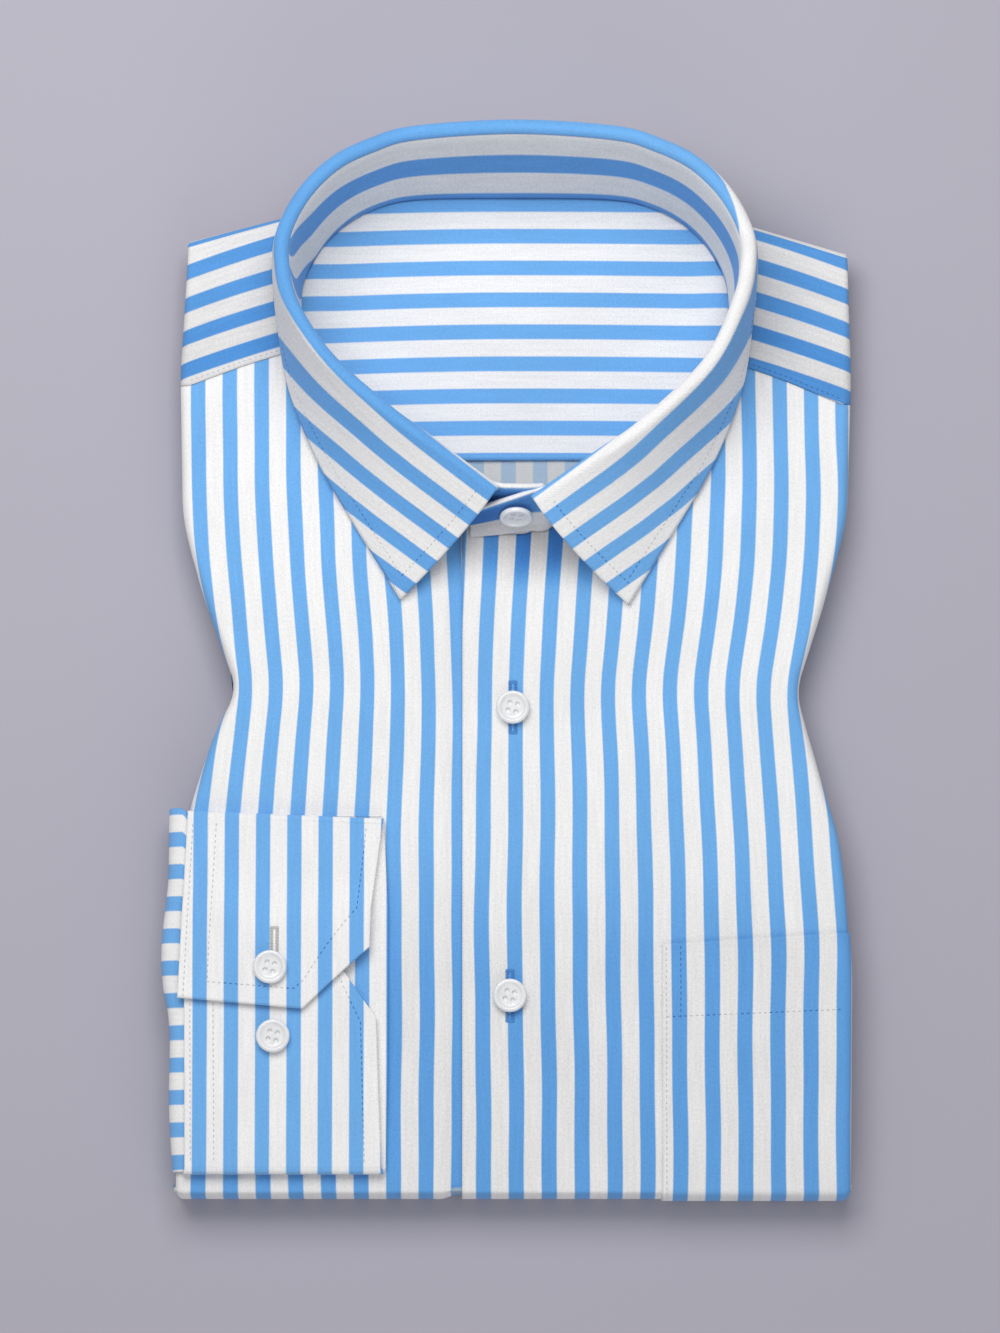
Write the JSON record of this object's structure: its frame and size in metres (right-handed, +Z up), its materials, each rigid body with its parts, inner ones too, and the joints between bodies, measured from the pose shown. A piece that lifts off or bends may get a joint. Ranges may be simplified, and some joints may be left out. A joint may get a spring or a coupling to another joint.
{
  "type": "folded dress shirt",
  "caption": "Long-sleeved dress shirt folded flat, collar standing, one sleeve brought round with its buttoned cuff on the front.",
  "frame": {"origin": "middle of the part's box, on the surface that the shirt lies on", "axes": "+Z up from the surface, +Y from the bottom fold to the collar, +X towards the wearer's left side"},
  "size_m": [0.2304, 0.363, 0.0517],
  "materials": {
    "striped_cotton": "matt cotton twill, blue and white stripes of equal width",
    "shirting_hidden": "matt cotton, the hidden layers",
    "button_shell": "pearly white, polished"
  },
  "bodies": {
    "root": {"front_left": "striped_cotton", "front_right": "striped_cotton", "chest_pocket": "striped_cotton", "yoke": "striped_cotton", "back": "striped_cotton", "folded_layers": "shirting_hidden", "collar_stand": "striped_cotton", "collar_leaf": "striped_cotton", "sleeve_right": "striped_cotton", "cuff_right": "striped_cotton", "button_collar": "button_shell", "button_front_upper": "button_shell", "button_front_lower": "button_shell", "button_cuff_upper": "button_shell", "button_cuff_lower": "button_shell"}
  },
  "joints": []
}
